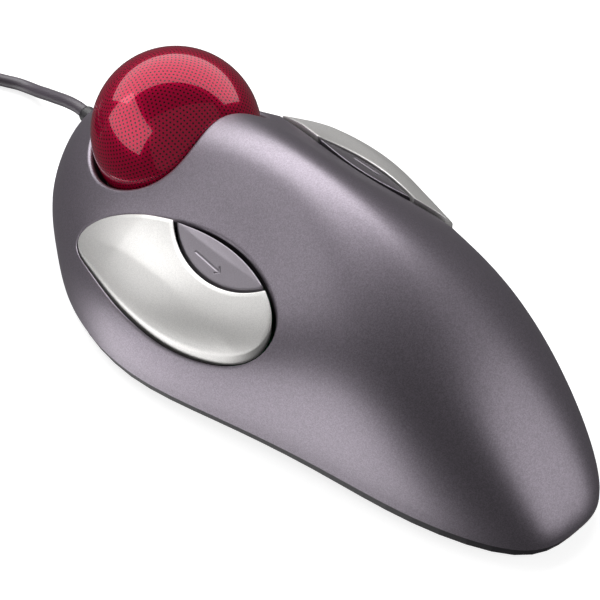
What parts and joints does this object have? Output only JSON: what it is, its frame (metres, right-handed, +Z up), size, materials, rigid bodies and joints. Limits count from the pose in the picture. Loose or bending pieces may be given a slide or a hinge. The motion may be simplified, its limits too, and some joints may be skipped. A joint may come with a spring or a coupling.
{
  "type": "desktop trackball",
  "caption": "Corded desktop trackball: arched palm shell, 40 mm ball in an open socket, leaf-shaped flank buttons with small inset buttons, cable with USB plug.",
  "frame": {"origin": "middle of the body's box at the height of the undersides of the rubber feet", "axes": "+Z up, +Y along the body towards the nose where the cable leaves, +X to the right"},
  "size_m": [0.1272, 0.2471, 0.048],
  "materials": {
    "shell_paint": "satin metallic grey-violet paint on moulded plastic",
    "dark_plastic": "moulded, fine grain",
    "foot_rubber": "matt",
    "label_film": "blank satin film",
    "screw_steel": "bright zinc",
    "ball_resin": "polished translucent resin with a fine dark dot pattern",
    "bearing_ceramic": "polished",
    "button_silver": "satin warm silver paint",
    "button_paint": "satin metallic grey-violet paint",
    "ivory_plastic": "moulded",
    "board_green": "solder mask on glass fibre",
    "switch_plastic": "moulded",
    "red_plastic": "moulded",
    "lens_clear": "clear acrylic",
    "sleeve_blue": "shrink sleeve",
    "cable_jacket": "satin flexible jacket",
    "tie_black": "nylon",
    "contact_gold": "gold flash"
  },
  "bodies": {
    "root": {"top_shell": "shell_paint", "base": "dark_plastic", "rubber_feet": "foot_rubber", "blank_label": "label_film", "case_screws": "screw_steel", "ball_cup": "dark_plastic", "support_bearings": "bearing_ceramic", "left_hinge_bracket": "dark_plastic", "right_hinge_bracket": "dark_plastic", "left_hinge_pin": "screw_steel", "right_hinge_pin": "screw_steel", "left_stem_guide": "ivory_plastic", "right_stem_guide": "ivory_plastic", "circuit_board": "board_green", "board_screws": "screw_steel", "left_main_switch": "switch_plastic", "right_main_switch": "switch_plastic", "left_small_switch": "switch_plastic", "right_small_switch": "switch_plastic", "sensor_holder": "dark_plastic", "sensor_lens": "lens_clear", "sensor_chip": "switch_plastic", "sensor_led": "red_plastic", "controller_chip": "switch_plastic", "crystal": "screw_steel", "capacitor": "sleeve_blue", "cable_header": "ivory_plastic", "cable_socket": "ivory_plastic", "inner_lead": "cable_jacket", "strain_relief": "cable_jacket", "cable": "cable_jacket", "cable_coil": "cable_jacket", "cable_tie": "tie_black", "plug_overmould": "cable_jacket", "plug_shell": "screw_steel", "plug_tongue": "ivory_plastic", "plug_contacts": "contact_gold"},
    "ball_body": {"ball": "ball_resin"},
    "left_key": {"left_button": "button_silver"},
    "right_key": {"right_button": "button_silver"},
    "left_small_key": {"left_small_button": "button_paint"},
    "right_small_key": {"right_small_button": "button_paint"},
    "left_main_switch_plunger": {"left_main_plunger": "red_plastic"},
    "right_main_switch_plunger": {"right_main_plunger": "red_plastic"},
    "left_small_switch_plunger": {"left_small_plunger": "ivory_plastic"},
    "right_small_switch_plunger": {"right_small_plunger": "ivory_plastic"}
  },
  "joints": [
    {"name": "ball_roll", "type": "hinge", "parent": "root", "child": "ball_body", "pos_m": [0, 0.0475, 0.0275], "axis": [1, 0, 0], "continuous": true},
    {"name": "left_button_press", "type": "hinge", "parent": "root", "child": "left_key", "pos_m": [-0.0288, 0.04, 0.0105], "axis": [1, 0, 0], "range_deg": [0, 1], "stiffness_Nm_per_rad": 0.3, "springref_deg": -2.86},
    {"name": "left_small_button_press", "type": "slide", "parent": "root", "child": "left_small_key", "axis": [0, 0, -1], "range_m": [0, 0.0005], "stiffness_N_per_m": 600, "springref_m": -0.001},
    {"name": "left_main_plunger_travel", "type": "slide", "parent": "root", "child": "left_main_switch_plunger", "axis": [0, 0, -1], "range_m": [0, 0.0007]},
    {"name": "left_small_plunger_travel", "type": "slide", "parent": "root", "child": "left_small_switch_plunger", "axis": [0, 0, -1], "range_m": [0, 0.0006]},
    {"name": "right_button_press", "type": "hinge", "parent": "root", "child": "right_key", "pos_m": [0.0288, 0.04, 0.0105], "axis": [1, 0, 0], "range_deg": [0, 1], "stiffness_Nm_per_rad": 0.3, "springref_deg": -2.86},
    {"name": "right_small_button_press", "type": "slide", "parent": "root", "child": "right_small_key", "axis": [0, 0, -1], "range_m": [0, 0.0005], "stiffness_N_per_m": 600, "springref_m": -0.001},
    {"name": "right_main_plunger_travel", "type": "slide", "parent": "root", "child": "right_main_switch_plunger", "axis": [0, 0, -1], "range_m": [0, 0.0007]},
    {"name": "right_small_plunger_travel", "type": "slide", "parent": "root", "child": "right_small_switch_plunger", "axis": [0, 0, -1], "range_m": [0, 0.0006]}
  ],
  "couplings": [
    {"joint": "left_main_plunger_travel", "follows": "left_button_press", "m_per_rad": 0.038},
    {"joint": "left_small_plunger_travel", "follows": "left_small_button_press", "ratio": 1},
    {"joint": "right_main_plunger_travel", "follows": "right_button_press", "m_per_rad": 0.038},
    {"joint": "right_small_plunger_travel", "follows": "right_small_button_press", "ratio": 1}
  ]
}
